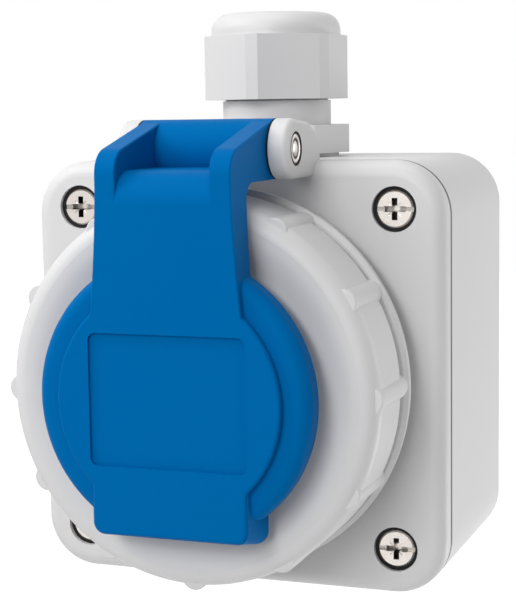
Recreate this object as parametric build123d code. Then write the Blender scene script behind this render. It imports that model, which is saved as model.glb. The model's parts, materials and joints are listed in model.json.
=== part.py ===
from build123d import *

import os
from math import cos, radians, sin, sqrt, tan

# Surface-mounted earthed socket: a square wall box with a screwed cover, a hinged lid that a
# bayonet ring locks on the cover's collar, and a cable gland on top.
#
# Millimetres. The origin is on the wall, on the socket's axis. +X is right as seen from the front,
# +Y points into the wall and +Z is up. A depth is a distance forward of the wall, so a point at
# depth d has y = -d. Outlines of turned pieces are drawn as (radius, depth).

# Box and cover
HOUSING_WIDTH = 85.0
HOUSING_HEIGHT = 83.6
HOUSING_DEPTH = 50.0
CORNER_RADIUS = 10.5
WALL = 2.6
BACK_WALL = 3.0
BACK_EDGE_RADIUS = 1.2
COVER_SIDE = 4.8
COVER_EDGE_RADIUS = 3.0
SEAM = 0.3

# Seal between box and cover
GROOVE_WIDTH = 1.2
GROOVE_DEPTH = 2.4
SEAL_HEIGHT = 1.4
SEAL_SIDE_GAP = 0.05
TONGUE_SIDE_GAP = 0.15

# Cover screws and their posts
COVER_SCREW_SPACING = 65.4
COVER_SCREW_RADIUS = 2.0
COVER_SCREW_LENGTH = 16.0
SCREW_HEAD_RADIUS = 3.6
SCREW_HEAD_HEIGHT = 2.4
SCREW_HEAD_RECESS = 0.5
SCREW_HEAD_CLEARANCE = 0.75
SCREW_SEAL_GAP = 0.05
SCREW_SEAL_SETBACK = 0.4
SCREW_CLEARANCE = 0.2
THREAD_CLEARANCE = 0.05
SLOT_WIDTH = 0.9
SLOT_DEPTH = 0.7
CROSS_LENGTH = 4.2
CROSS_WIDTH = 1.1
CROSS_DEPTH = 1.9
TICK_LENGTH = 3.4
TICK_WIDTH = 0.25
TICK_DEPTH = 0.3
POST_RADIUS = 4.6
POST_WEB = 2.2

# Wall fixing holes
FIXING_SPACING_X = 56.0
FIXING_SPACING_Z = 44.0
FIXING_HOLE_RADIUS = 2.5
FIXING_RIM_RADIUS = 4.6
FIXING_RIM_HEIGHT = 1.5

# Plug recess and the insert that carries it
RECESS_RADIUS = 19.75
RECESS_DEPTH = 17.5
POT_WALL = 2.15
POT_FLOOR = 2.5
PIN_SPACING = 19.0
PIN_HOLE_RADIUS = 2.8
INSERT_FLANGE_RADIUS = 31.2
INSERT_FLANGE = 2.5
INSERT_SEAL = 1.0
INSERT_SEAL_WIDTH = 2.4
TOWER_WIDTH = 10.6
TOWER_HEIGHT = 13.0
TOWER_DEPTH = 22.0
TOWER_ROUNDING = 2.0
SLOT_SIDE_GAP = 0.3

# Collar of the cover
COLLAR_RADIUS = 30.4
COLLAR_WALL = 2.6
COLLAR_FACE_WALL = 2.4
COLLAR_LENGTH = 16.0
COLLAR_FIT = 0.2
COLLAR_POST_CIRCLE = 25.5
COLLAR_POST_RADIUS = 3.1
INSERT_SCREW_RADIUS = 1.3
INSERT_SCREW_LENGTH = 9.0
INSERT_SCREW_HEAD_RADIUS = 2.6
INSERT_SCREW_HEAD = 1.9

# Contacts
SLEEVE_RADIUS = 3.5
SLEEVE_BORE = 2.45
SLEEVE_SLIT = 0.6
SLEEVE_SLIT_LENGTH = 11.0
CHAMBER_RADIUS = 3.8
TERMINAL_WIDTH = 7.0
TERMINAL_HEIGHT = 8.6
TERMINAL_DEPTH = 4.6
TERMINAL_SCREW_RADIUS = 1.5
TERMINAL_SCREW_HEAD_RADIUS = 2.2
TERMINAL_SCREW_HEAD = 1.5
WIRE_HOLE_RADIUS = 1.5
CHAMBER_GAP = 0.2
BACK_CAP = 2.2
BACK_CAP_MARGIN = 1.0
BACK_CAP_CLEARANCE = 0.6

# Earth clip
CLIP_THICKNESS = 0.8
CLIP_WIDTH = 6.0
CLIP_REACH = 20.5
CLIP_BULGE = 17.9
CLIP_BULGE_LENGTH = 5.0
CLIP_TIP = 4.2
CLIP_GAP = 0.3
CLIP_BEND = 0.9

# Lid
LID_REACH = 17.6
LID_STEP = 1.6
LID_RADIUS = 26.4
LID_RIM = 5.0
LID_EDGE_RADIUS = 2.4
LID_WALL = 2.2
PLATEAU_RADIUS = 21.5
BOSS_RADIUS = 22.2
BOSS_WALL = 2.2
LABEL_WIDTH = 30.2
LABEL_TOP = 12.3
LABEL_BOTTOM = -12.0
LABEL_RECESS = 0.7
LABEL_ROUNDING = 1.4
FRONT_SOFTENING = 0.6
RIM_END = 20.5

# Arm of the lid
ARM_HALF_WIDTH = 13.0
ARM_HALF_WIDTH_LOW = 14.5
ARM_FLARE_DROP = 6.4
ARM_FLARE_BOTTOM = 16.0
ARM_FLARE_SHARE = 0.35
CHEEK_WIDTH = 4.0
CHEEK_SLOPE = 14.0
CHEEK_LEVEL = 5.5
CHEEK_ROUNDING = 4.8
CHEEK_SOFTENING = 0.35
ARM_FLOOR = 2.4
ARM_BEND_RADIUS = 5.8
ARM_DEPTH = 7.7
ARM_INNER_ROUNDING = 3.5

# Grip tab of the lid
TAB_HALF_WIDTH = 14.9
TAB_BOTTOM = -24.6
TAB_TOP = -15.0
TAB_DROP = 1.4
TAB_FLARE = 1.8
TAB_ROUNDING = 2.2
TAB_REAR_ROUNDING = 2.8
TAB_BLEND = 1.2

# Hinge
HINGE_REACH = 10.1
HINGE_CLEARANCE = 1.6
BARREL_RADIUS = 5.6
EAR_GAP = 0.4
EAR_WIDTH = 3.6
EAR_EDGE = 1.2
EAR_SHOULDER = 4.0
EAR_SHOULDER_DROP = 0.6
EAR_BACK = 2.1
EAR_BACK_DROP = 2.7
EAR_FOOT = 3.0
PIN_RADIUS = 2.0
PIN_RUNNING_CLEARANCE = 0.08
PIN_HEAD_RADIUS = 2.8
PIN_HEAD = 1.0
PIN_HEAD_RECESS = 0.5
PIN_SEAT_RADIUS = 3.2
PIN_DIMPLE_RADIUS = 1.9
PIN_DIMPLE = 0.5

# Locking ring
RING_GAP = 0.3
RING_WEB = 2.3
RING_RADIUS = 36.3
RING_WALL = 2.3
RING_SHOULDER_RADIUS = 3.2
RING_CREST_RISE = 1.7
RING_DISH_RADIUS = 24.6
RING_GROOVE = 2.2
RING_GROOVE_RADIUS = 34.9
RING_FLANGE = 2.0
RING_FLANGE_RADIUS = 37.2
FLANGE_BEVEL = 0.8
RING_STANDOFF = 5.0
RIB_COUNT = 12
RIB_RADIUS = 2.6
RIB_OUTER_RADIUS = 37.0
RIB_SETBACK = 1.2
RIB_TURN = 0.6
RIB_EDGE = 0.35

# Bayonet lugs
LUG_COUNT = 3
RING_LUG_ANGLE = 30.0
RING_LUG_SWEEP = 24.0
RING_LUG_INNER_RADIUS = 30.9
RING_LUG = 2.8
COLLAR_LUG_SWEEP = 30.0
COLLAR_LUG_RADIUS = 32.2
COLLAR_LUG = 2.5
COLLAR_LUG_SETBACK = 1.8
LUG_GAP = 0.4
LOCK_TURN = 45.0
STOP_SWEEP = 3.0
STOP_OVERLAP = 1.0

# Disc and seal behind the lid
LID_DISC_RADIUS = 27.4
LID_DISC = 2.5
DISC_GAP = 1.5
LID_SEAL_INNER = 23.0
LID_SEAL_OUTER = 26.1
LID_SEAL_SEAT = 1.5
LID_SEAL_GAP = 0.05
SEAL_FACE_GAP = 0.3
LID_SCREW_CIRCLE = 15.5
LID_SCREW_COUNT = 3
LID_SCREW_RADIUS = 1.1
LID_SCREW_HEAD_RADIUS = 2.1
LID_SCREW_HEAD = 1.0
LID_SCREW_LENGTH = 8.0
LID_POST_RADIUS = 2.6

# Cable gland
GLAND_DEPTH = 22.6
GLAND_BASE_FLATS = 26.0
GLAND_BASE_TURN = -10.4
GLAND_BASE = 5.8
GLAND_NECK_RADIUS = 11.25
GLAND_NECK = 5.0
GLAND_THREAD_RADIUS = 10.7
GLAND_THREAD = 8.6
GLAND_SHANK_RADIUS = 9.95
GLAND_SHANK = 11.0
GLAND_BORE = 7.6
GLAND_HOLE_CLEARANCE = 0.25
GLAND_GASKET = 0.8
GLAND_GASKET_RADIUS = 12.8
GLAND_PAD_RADIUS = 15.0
GLAND_PAD = 1.5
LOCKNUT_FLATS = 25.0
LOCKNUT_HEIGHT = 4.5
LOCKNUT_CLEARANCE = 0.1
NUT_FLATS = 27.0
NUT_CORNER_RADIUS = 14.86
NUT_CORNER_TURN = 30.0
NUT_HEX_HEIGHT = 13.0
NUT_HEIGHT = 17.6
NUT_DOME_RADIUS = 13.4
NUT_DOME_ROUNDING = 3.6
NUT_HOLE_RADIUS = 7.0
NUT_CROWN_WALL = 3.0
NUT_TAPER = 2.5
NUT_THREAD_CLEARANCE = 0.3
CLAW_RADIUS = 9.2
CLAW_WALL = 0.9
CLAW_FINGERS = 8
CLAW_SLOT = 1.0
CLAW_SEAT = 6.0
CLAW_TOP_GAP = 0.4
SEAL_SLEEVE_BORE = 6.2
SEAL_SLEEVE_GAP = 0.1

# Places that follow from the sizes above
COVER_REAR = HOUSING_DEPTH - COVER_SIDE
BOX_FRONT = COVER_REAR - SEAM
PLATE_REAR = HOUSING_DEPTH - WALL
COLLAR_FRONT = HOUSING_DEPTH + COLLAR_LENGTH
COLLAR_BORE = COLLAR_RADIUS - COLLAR_WALL
COLLAR_FACE_REAR = COLLAR_FRONT - COLLAR_FACE_WALL
POT_RADIUS = RECESS_RADIUS + POT_WALL
RECESS_FLOOR = COLLAR_FRONT - RECESS_DEPTH
POT_REAR = RECESS_FLOOR - POT_FLOOR
FLANGE_FRONT = PLATE_REAR - INSERT_SEAL
FLANGE_REAR = FLANGE_FRONT - INSERT_FLANGE
TOWER_REAR = POT_REAR - TOWER_DEPTH
TERMINAL_FRONT = TOWER_REAR + TERMINAL_DEPTH
CLIP_BASE = FLANGE_REAR - CLIP_GAP - CLIP_THICKNESS / 2
LID_FRONT = COLLAR_FRONT + LID_REACH
LID_FACE = LID_FRONT - LID_STEP
LID_RIM_DEPTH = LID_FACE - LID_RIM
LID_DISC_REAR = COLLAR_FRONT + DISC_GAP
LID_DISC_FRONT = LID_DISC_REAR + LID_DISC
RING_WEB_REAR = LID_DISC_FRONT + RING_GAP
RING_WEB_FRONT = RING_WEB_REAR + RING_WEB
RING_CREST = RING_WEB_FRONT + RING_CREST_RISE
RING_BORE = BOSS_RADIUS + RING_GAP
RING_INNER_RADIUS = RING_RADIUS - RING_WALL
RING_REAR = HOUSING_DEPTH + RING_STANDOFF
RING_FLANGE_FRONT = RING_REAR + RING_FLANGE
RING_SKIRT_REAR = RING_FLANGE_FRONT + RING_GROOVE
COLLAR_LUG_FRONT = COLLAR_FRONT - COLLAR_LUG_SETBACK
COLLAR_LUG_REAR = COLLAR_LUG_FRONT - COLLAR_LUG
RING_LUG_FRONT = COLLAR_LUG_REAR - LUG_GAP
RING_LUG_REAR = RING_LUG_FRONT - RING_LUG
STOP_REAR = RING_LUG_REAR - STOP_OVERLAP
HOUSING_TOP = HOUSING_HEIGHT / 2
HINGE_DEPTH = HOUSING_DEPTH + HINGE_REACH
HINGE_HEIGHT = RING_FLANGE_RADIUS + HINGE_CLEARANCE + BARREL_RADIUS
EAR_INNER = ARM_HALF_WIDTH + EAR_GAP
EAR_OUTER = EAR_INNER + EAR_WIDTH
GLAND_BASE_BOTTOM = HOUSING_TOP + GLAND_GASKET
GLAND_NECK_BOTTOM = GLAND_BASE_BOTTOM + GLAND_BASE
GLAND_NECK_TOP = GLAND_NECK_BOTTOM + GLAND_NECK
GLAND_BODY_TOP = GLAND_NECK_TOP + GLAND_THREAD
NUT_BOTTOM = GLAND_NECK_TOP + NUT_THREAD_CLEARANCE
NUT_TOP = NUT_BOTTOM + NUT_HEIGHT
NUT_BORE = GLAND_THREAD_RADIUS + NUT_THREAD_CLEARANCE
CLAW_BOTTOM = GLAND_BODY_TOP - CLAW_SEAT
CLAW_TOP = NUT_TOP - NUT_CROWN_WALL - CLAW_TOP_GAP


def at_depth(depth):
    """The plane across the socket's axis at a depth. Local x is X and local y is Z."""
    return Plane(origin=(0, -depth, 0), x_dir=(1, 0, 0), z_dir=(0, -1, 0))


def outline(*corners):
    """A closed outline from its corners, each (across, up) or (across, up, rounding)."""
    points = [corner[:2] for corner in corners]
    rounding = [corner[2] if len(corner) > 2 else 0 for corner in corners]
    return make_face(FilletPolyline(*points, radius=rounding, close=True))


def block(shape, rear, front):
    """An outline in X and Z, carried from the rear depth to the front depth."""
    return extrude(at_depth(rear) * shape, amount=front - rear)


def side_block(shape, left, right):
    """An outline of depth and height, carried from X = left to X = right."""
    plane = Plane(origin=(right, 0, 0), x_dir=(0, -1, 0), z_dir=(-1, 0, 0))
    return extrude(plane * shape, amount=right - left)


def turned(shape, sweep=360.0, middle=0.0):
    """A solid turned about the socket's axis, whole or as a sweep about a middle angle.

    An angle is measured from +X towards +Z, as seen from the front.
    """
    start = Rotation(0, sweep / 2 - middle, 0)
    plane = Plane(origin=(0, 0, 0), x_dir=(1, 0, 0), z_dir=(0, 0, -1))
    return start * revolve(plane * shape, axis=Axis((0, 0, 0), (0, -1, 0)), revolution_arc=sweep)


def rectangle(inner, outer, low, high):
    """The outline of a plain ring or bar, between two radii and two levels."""
    return outline((inner, low), (outer, low), (outer, high), (inner, high))


def tube(inner, outer, rear, front):
    """A plain ring on the socket's axis."""
    return block(Circle(outer) - Circle(inner), rear, front)


def round_bar(radius, rear, front, x=0.0, z=0.0):
    """A round bar along the depth, at X and Z."""
    return block(Pos(x, z) * Circle(radius), rear, front)


def gland_turned(shape):
    """A solid turned about the gland's axis, from an outline of radius and height."""
    plane = Plane(origin=(0, -GLAND_DEPTH, 0), x_dir=(1, 0, 0), z_dir=(0, -1, 0))
    return revolve(plane * shape, axis=Axis((0, -GLAND_DEPTH, 0), (0, 0, 1)))


def gland_prism(shape, low, high):
    """An outline in X and Y about the gland's axis, carried between two heights."""
    return extrude(Pos(0, -GLAND_DEPTH, low) * shape, amount=high - low)


def hexagon(flats, turn=0.0):
    """A hexagon by its width across flats. Unturned, two corners point along the depth."""
    return Rot(0, 0, turn) * RegularPolygon(flats / 2, 6, major_radius=False, rotation=30)


def corners(spacing_x, spacing_z):
    """The four corner points of a rectangle about the axis."""
    return [(sx * spacing_x / 2, sz * spacing_z / 2) for sx in (-1, 1) for sz in (-1, 1)]


def on_circle(radius, count, first=0.0):
    """Points spread evenly on a circle about the axis."""
    angles = [radians(first + 360 * i / count) for i in range(count)]
    return [(radius * cos(a), radius * sin(a)) for a in angles]


def rounded_square(inset):
    """The housing's outline, drawn in by an inset."""
    width = HOUSING_WIDTH - 2 * inset
    height = HOUSING_HEIGHT - 2 * inset
    return RectangleRounded(width, height, CORNER_RADIUS - inset)


def front_edges(solid):
    """The edges of a solid's foremost face."""
    return solid.faces().sort_by(Axis.Y)[0].edges()


def screw_post(x, z):
    """A post in a corner of the box with two webs to the side walls."""
    wall_x = (HOUSING_WIDTH - WALL) / 2
    wall_z = (HOUSING_HEIGHT - WALL) / 2
    side = 1 if x > 0 else -1
    level = 1 if z > 0 else -1
    reach_x = wall_x - abs(x)
    reach_z = wall_z - abs(z)
    web_x = Pos(x + side * reach_x / 2, z) * Rectangle(reach_x, POST_WEB)
    web_z = Pos(x, z + level * reach_z / 2) * Rectangle(POST_WEB, reach_z)
    shape = Pos(x, z) * Circle(POST_RADIUS) + web_x + web_z
    return block(shape, BACK_WALL - SEAM, BOX_FRONT)


def groove_inset():
    """How far in the seal's groove starts, so that it lies in the middle of the wall."""
    return (WALL - GROOVE_WIDTH) / 2


def wall_ring(gap):
    """The outline of the groove in the wall, narrowed by a gap on each side."""
    start = groove_inset() + gap
    return rounded_square(start) - rounded_square(start + GROOVE_WIDTH - 2 * gap)


def make_rear_box():
    """The wall box, open at the front."""
    shell = block(rounded_square(0), 0, BOX_FRONT)
    shell = fillet(shell.faces().sort_by(Axis.Y)[-1].edges(), BACK_EDGE_RADIUS)
    shell -= block(rounded_square(WALL), BACK_WALL, BOX_FRONT)
    pad_bottom = HOUSING_TOP - WALL - GLAND_PAD
    shell += gland_prism(Circle(GLAND_PAD_RADIUS), pad_bottom, HOUSING_TOP - WALL / 2)
    for x, z in corners(COVER_SCREW_SPACING, COVER_SCREW_SPACING):
        shell += screw_post(x, z)
    for x, z in corners(FIXING_SPACING_X, FIXING_SPACING_Z):
        shell += round_bar(FIXING_RIM_RADIUS, BACK_WALL / 2, BACK_WALL + FIXING_RIM_HEIGHT, x, z)
        shell -= round_bar(FIXING_HOLE_RADIUS, 0, BACK_WALL + FIXING_RIM_HEIGHT, x, z)
    pilot_rear = screw_head_rear() - COVER_SCREW_LENGTH - 1
    for x, z in corners(COVER_SCREW_SPACING, COVER_SCREW_SPACING):
        shell -= round_bar(COVER_SCREW_RADIUS + THREAD_CLEARANCE, pilot_rear, BOX_FRONT, x, z)
    shell -= block(wall_ring(0), BOX_FRONT - GROOVE_DEPTH, BOX_FRONT)
    hole = GLAND_SHANK_RADIUS + GLAND_HOLE_CLEARANCE
    shell -= gland_prism(Circle(hole), pad_bottom, HOUSING_TOP)
    return shell


def make_cover_seal():
    """The soft cord in the box's groove."""
    rear = BOX_FRONT - GROOVE_DEPTH
    return block(wall_ring(SEAL_SIDE_GAP), rear, rear + SEAL_HEIGHT)


def screw_head_rear():
    """Depth of the seat under a cover screw's head."""
    return HOUSING_DEPTH - SCREW_HEAD_RECESS - SCREW_HEAD_HEIGHT


def ear_outline():
    """Side view of a hinge ear: a round nose, an underside from its foot and a back that slopes down."""
    top = HINGE_HEIGHT + BARREL_RADIUS
    bottom = HINGE_HEIGHT - BARREL_RADIUS
    foot = HOUSING_TOP - EAR_FOOT
    nose = (HINGE_DEPTH + BARREL_RADIUS, HINGE_HEIGHT)
    shoulder = (HOUSING_DEPTH + EAR_SHOULDER, top - EAR_SHOULDER_DROP)
    back = (HOUSING_DEPTH - EAR_BACK, top - EAR_BACK_DROP)
    return make_face(
        [
            Line((COVER_REAR, foot), (HINGE_DEPTH, bottom)),
            ThreePointArc((HINGE_DEPTH, bottom), nose, (HINGE_DEPTH, top)),
            Line((HINGE_DEPTH, top), shoulder),
            ThreePointArc(shoulder, back, (COVER_REAR, HOUSING_TOP)),
            Line((COVER_REAR, HOUSING_TOP), (COVER_REAR, foot)),
        ]
    )


def hinge_bar(radius, left, right):
    """A round bar on the hinge axis."""
    return side_block(Pos(HINGE_DEPTH, HINGE_HEIGHT) * Circle(radius), left, right)


def make_ear():
    """The right-hand hinge ear, bored for the pin and its head."""
    ear = side_block(ear_outline(), EAR_INNER, EAR_OUTER)
    outer_face = ear.faces().sort_by(Axis.X)[-1]
    rim = [edge for edge in outer_face.edges() if edge.center().Y < -COVER_REAR - SEAM]
    ear = fillet(rim, EAR_EDGE)
    ear -= hinge_bar(PIN_RADIUS + THREAD_CLEARANCE, EAR_INNER, EAR_OUTER)
    seat = EAR_OUTER - PIN_HEAD - PIN_HEAD_RECESS
    return ear - hinge_bar(PIN_SEAT_RADIUS, seat, EAR_OUTER)


def collar_lug_angles():
    """Middle angles of the collar's lugs. Each holds a ring lug once the ring is turned."""
    return [RING_LUG_ANGLE - LOCK_TURN + 360 * i / LUG_COUNT for i in range(LUG_COUNT)]


def make_collar():
    """The round collar of the cover, with its bayonet lugs and the posts for the insert."""
    collar = tube(COLLAR_BORE, COLLAR_RADIUS, PLATE_REAR, COLLAR_FRONT)
    collar += tube(POT_RADIUS + COLLAR_FIT, COLLAR_BORE + WALL / 2, COLLAR_FACE_REAR, COLLAR_FRONT)
    for x, z in on_circle(COLLAR_POST_CIRCLE, 4, 45):
        collar += round_bar(COLLAR_POST_RADIUS, FLANGE_FRONT + SEAM, COLLAR_FACE_REAR + 1, x, z)
        hole = INSERT_SCREW_RADIUS + THREAD_CLEARANCE
        end = FLANGE_REAR + INSERT_SCREW_LENGTH + 1
        collar -= round_bar(hole, FLANGE_FRONT, end, x, z)
    lug = rectangle(COLLAR_RADIUS - WALL / 2, COLLAR_LUG_RADIUS, COLLAR_LUG_REAR, COLLAR_LUG_FRONT)
    stop = rectangle(COLLAR_RADIUS - WALL / 2, COLLAR_LUG_RADIUS, STOP_REAR, COLLAR_LUG_FRONT)
    for angle in collar_lug_angles():
        collar += turned(lug, COLLAR_LUG_SWEEP, angle)
        collar += turned(stop, STOP_SWEEP, angle - COLLAR_LUG_SWEEP / 2)
    return collar


def make_front_cover():
    """The cover plate with its rim, screw seats, collar and hinge ears."""
    cover = block(rounded_square(0), COVER_REAR, HOUSING_DEPTH)
    cover = fillet(front_edges(cover), COVER_EDGE_RADIUS)
    cover -= block(rounded_square(WALL), COVER_REAR, PLATE_REAR)
    tongue_rear = BOX_FRONT - GROOVE_DEPTH + SEAL_HEIGHT
    cover += block(wall_ring(TONGUE_SIDE_GAP), tongue_rear, COVER_REAR)
    seat = screw_head_rear()
    for x, z in corners(COVER_SCREW_SPACING, COVER_SCREW_SPACING):
        cover += round_bar(POST_RADIUS + WALL / 2, COVER_REAR, PLATE_REAR, x, z)
        cover -= round_bar(COVER_SCREW_RADIUS + SCREW_CLEARANCE, COVER_REAR, HOUSING_DEPTH, x, z)
        cover -= round_bar(SCREW_HEAD_RADIUS + SCREW_HEAD_CLEARANCE, seat, HOUSING_DEPTH, x, z)
    cover -= round_bar(COLLAR_BORE, COVER_REAR, HOUSING_DEPTH)
    cover += make_collar()
    ear = make_ear()
    cover += ear
    cover += mirror(ear, Plane.YZ)
    return cover


def make_cover_screw():
    """A cover screw on the axis: a full slot, a deep cross recess and four ticks between its arms."""
    seat = screw_head_rear()
    front = seat + SCREW_HEAD_HEIGHT
    head = round_bar(SCREW_HEAD_RADIUS, seat, front)
    head = chamfer(front_edges(head), SLOT_WIDTH / 3)
    head -= block(Rectangle(3 * SCREW_HEAD_RADIUS, SLOT_WIDTH), front - SLOT_DEPTH, front)
    cross = Rectangle(CROSS_LENGTH, CROSS_WIDTH) + Rectangle(CROSS_WIDTH, CROSS_LENGTH)
    head -= block(cross, front - CROSS_DEPTH, front)
    for turn in (45, 135):
        tick = Rot(0, 0, turn) * Rectangle(TICK_LENGTH, TICK_WIDTH)
        head -= block(tick, front - TICK_DEPTH, front)
    return head + round_bar(COVER_SCREW_RADIUS, seat - COVER_SCREW_LENGTH, seat)


def make_cover_screws():
    """The four cover screws."""
    screw = make_cover_screw()
    return [Pos(x, 0, z) * screw for x, z in corners(COVER_SCREW_SPACING, COVER_SCREW_SPACING)]


def make_screw_seals():
    """The black ring round each cover screw's head, which seals its seat in the cover."""
    rear = screw_head_rear()
    front = rear + SCREW_HEAD_HEIGHT - SCREW_SEAL_SETBACK
    inner = SCREW_HEAD_RADIUS + SCREW_SEAL_GAP
    outer = SCREW_HEAD_RADIUS + SCREW_HEAD_CLEARANCE - SCREW_SEAL_GAP
    ring = tube(inner, outer, rear, front)
    return [Pos(x, 0, z) * ring for x, z in corners(COVER_SCREW_SPACING, COVER_SCREW_SPACING)]


def tower_outline(x, grow=0.0):
    """The outline of a contact tower about one pin."""
    return Pos(x, 0) * RectangleRounded(TOWER_WIDTH + grow, TOWER_HEIGHT + grow, TOWER_ROUNDING)


def clip_slot():
    """The slot for the earth clip's upper arm, from behind the flange to near the pot's rim."""
    height = POT_RADIUS - CLIP_BULGE + 2 * CLIP_THICKNESS
    middle = CLIP_BULGE + height / 2
    shape = Pos(0, middle) * Rectangle(CLIP_WIDTH + 2 * SLOT_SIDE_GAP, height)
    return block(shape, FLANGE_REAR, COLLAR_FACE_REAR - 2 * SEAM)


def make_socket_insert():
    """The pot with the plug recess, its flange and the two contact towers behind it."""
    insert = round_bar(POT_RADIUS, POT_REAR, COLLAR_FRONT)
    insert += round_bar(INSERT_FLANGE_RADIUS, FLANGE_REAR, FLANGE_FRONT)
    insert -= round_bar(RECESS_RADIUS, RECESS_FLOOR, COLLAR_FRONT)
    for x, z in on_circle(COLLAR_POST_CIRCLE, 4, 45):
        insert -= round_bar(INSERT_SCREW_RADIUS + SCREW_CLEARANCE, FLANGE_REAR, FLANGE_FRONT, x, z)
    for side in (-1, 1):
        x = side * PIN_SPACING / 2
        insert += block(tower_outline(x), TOWER_REAR, POT_REAR)
    for side in (-1, 1):
        x = side * PIN_SPACING / 2
        insert -= round_bar(PIN_HOLE_RADIUS, POT_REAR, RECESS_FLOOR, x)
        insert -= round_bar(CHAMBER_RADIUS, TOWER_REAR, POT_REAR, x)
        room = Rectangle(TERMINAL_WIDTH + 2 * CHAMBER_GAP, TERMINAL_HEIGHT + 2 * CHAMBER_GAP)
        insert -= block(Pos(x, 0) * room, TOWER_REAR, TERMINAL_FRONT + CHAMBER_GAP)
        wire_way = Pos(x, TOWER_HEIGHT / 2) * Rectangle(2 * WIRE_HOLE_RADIUS + 1, TOWER_HEIGHT)
        insert -= block(wire_way, TOWER_REAR, TERMINAL_FRONT)
    slot = clip_slot()
    insert -= slot
    insert -= mirror(slot, Plane.XY)
    return insert


def make_insert_seal():
    """The flat ring between the insert's flange and the cover."""
    inner = INSERT_FLANGE_RADIUS - INSERT_SEAL_WIDTH
    return tube(inner, INSERT_FLANGE_RADIUS, FLANGE_FRONT, PLATE_REAR)


def make_insert_screws():
    """The screws that hold the insert to the collar's posts."""
    screws = []
    for x, z in on_circle(COLLAR_POST_CIRCLE, 4, 45):
        head_rear = FLANGE_REAR - INSERT_SCREW_HEAD
        head = round_bar(INSERT_SCREW_HEAD_RADIUS, head_rear, FLANGE_REAR, x, z)
        slot = Pos(x, z) * Rectangle(3 * INSERT_SCREW_HEAD_RADIUS, SLOT_WIDTH)
        head -= block(slot, head_rear, head_rear + SLOT_DEPTH)
        shank = round_bar(INSERT_SCREW_RADIUS, FLANGE_REAR, FLANGE_REAR + INSERT_SCREW_LENGTH, x, z)
        screws.append(head + shank)
    return screws


def make_contact(side):
    """A slit brass sleeve for one plug pin, with its terminal block."""
    x = side * PIN_SPACING / 2
    front = POT_REAR - CHAMBER_GAP
    sleeve = round_bar(SLEEVE_RADIUS, TERMINAL_FRONT, front, x)
    terminal = Pos(x, 0) * Rectangle(TERMINAL_WIDTH, TERMINAL_HEIGHT)
    contact = sleeve + block(terminal, TOWER_REAR, TERMINAL_FRONT)
    contact -= round_bar(SLEEVE_BORE, TERMINAL_FRONT, front, x)
    slit = Pos(x, 0) * Rectangle(SLEEVE_SLIT, 3 * SLEEVE_RADIUS)
    contact -= block(slit, front - SLEEVE_SLIT_LENGTH, front)
    contact -= round_bar(TERMINAL_SCREW_RADIUS + THREAD_CLEARANCE, TOWER_REAR, TERMINAL_FRONT - 1, x)
    wire = Cylinder(WIRE_HOLE_RADIUS, TERMINAL_HEIGHT)
    return contact - Pos(x, -(TOWER_REAR + TERMINAL_DEPTH / 2), TERMINAL_HEIGHT / 2) * wire


def clip_path():
    """Side view of the earth clip's upper half: up behind the flange, then forward to the bulge."""
    middle = (RECESS_FLOOR + COLLAR_FACE_REAR) / 2
    return [
        (CLIP_BASE, 0),
        (CLIP_BASE, CLIP_REACH),
        (middle - CLIP_BULGE_LENGTH, CLIP_REACH),
        (middle, CLIP_BULGE + CLIP_THICKNESS / 2),
        (middle + CLIP_TIP, CLIP_REACH - CLIP_THICKNESS / 2),
    ]


def earth_block_rear():
    """Depth of the earth terminal's rear face."""
    return CLIP_BASE - CLIP_THICKNESS / 2 - TERMINAL_DEPTH


def make_earth_clip():
    """The sprung earth strip with a side contact at the top and bottom of the recess."""
    path = FilletPolyline(*clip_path(), radius=CLIP_BEND)
    arm = side_block(trace(path, CLIP_THICKNESS), -CLIP_WIDTH / 2, CLIP_WIDTH / 2)
    rear = earth_block_rear()
    terminal = block(Rectangle(CLIP_WIDTH, TERMINAL_HEIGHT), rear, CLIP_BASE)
    clip = arm + mirror(arm, Plane.XY) + terminal
    clip -= round_bar(TERMINAL_SCREW_RADIUS + THREAD_CLEARANCE, rear, rear + TERMINAL_DEPTH - 1)
    wire = Cylinder(WIRE_HOLE_RADIUS, TERMINAL_HEIGHT)
    return clip - Pos(0, -(rear + TERMINAL_DEPTH / 2), TERMINAL_HEIGHT / 2) * wire


def make_terminal_screws():
    """The screws of the two line terminals and of the earth terminal."""
    seats = [(-PIN_SPACING / 2, TOWER_REAR), (PIN_SPACING / 2, TOWER_REAR), (0, earth_block_rear())]
    screws = []
    for x, rear in seats:
        head_rear = rear - TERMINAL_SCREW_HEAD
        head = round_bar(TERMINAL_SCREW_HEAD_RADIUS, head_rear, rear, x)
        slot = Pos(x, 0) * Rectangle(3 * TERMINAL_SCREW_HEAD_RADIUS, SLOT_WIDTH)
        head -= block(slot, head_rear, head_rear + TERMINAL_SCREW_HEAD / 2)
        tip = rear + TERMINAL_DEPTH / 2 - WIRE_HOLE_RADIUS
        screws.append(head + round_bar(TERMINAL_SCREW_RADIUS, rear, tip, x))
    return screws


def make_insert_back():
    """The cap behind the towers, open at the three terminal screws."""
    width = PIN_SPACING + TOWER_WIDTH + BACK_CAP_MARGIN
    height = TOWER_HEIGHT + BACK_CAP_MARGIN
    cap = block(RectangleRounded(width, height, TOWER_ROUNDING), TOWER_REAR - BACK_CAP, TOWER_REAR)
    hole = TERMINAL_SCREW_HEAD_RADIUS + BACK_CAP_CLEARANCE
    for x in (-PIN_SPACING / 2, 0, PIN_SPACING / 2):
        cap -= round_bar(hole, TOWER_REAR - BACK_CAP, TOWER_REAR, x)
    return cap


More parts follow.
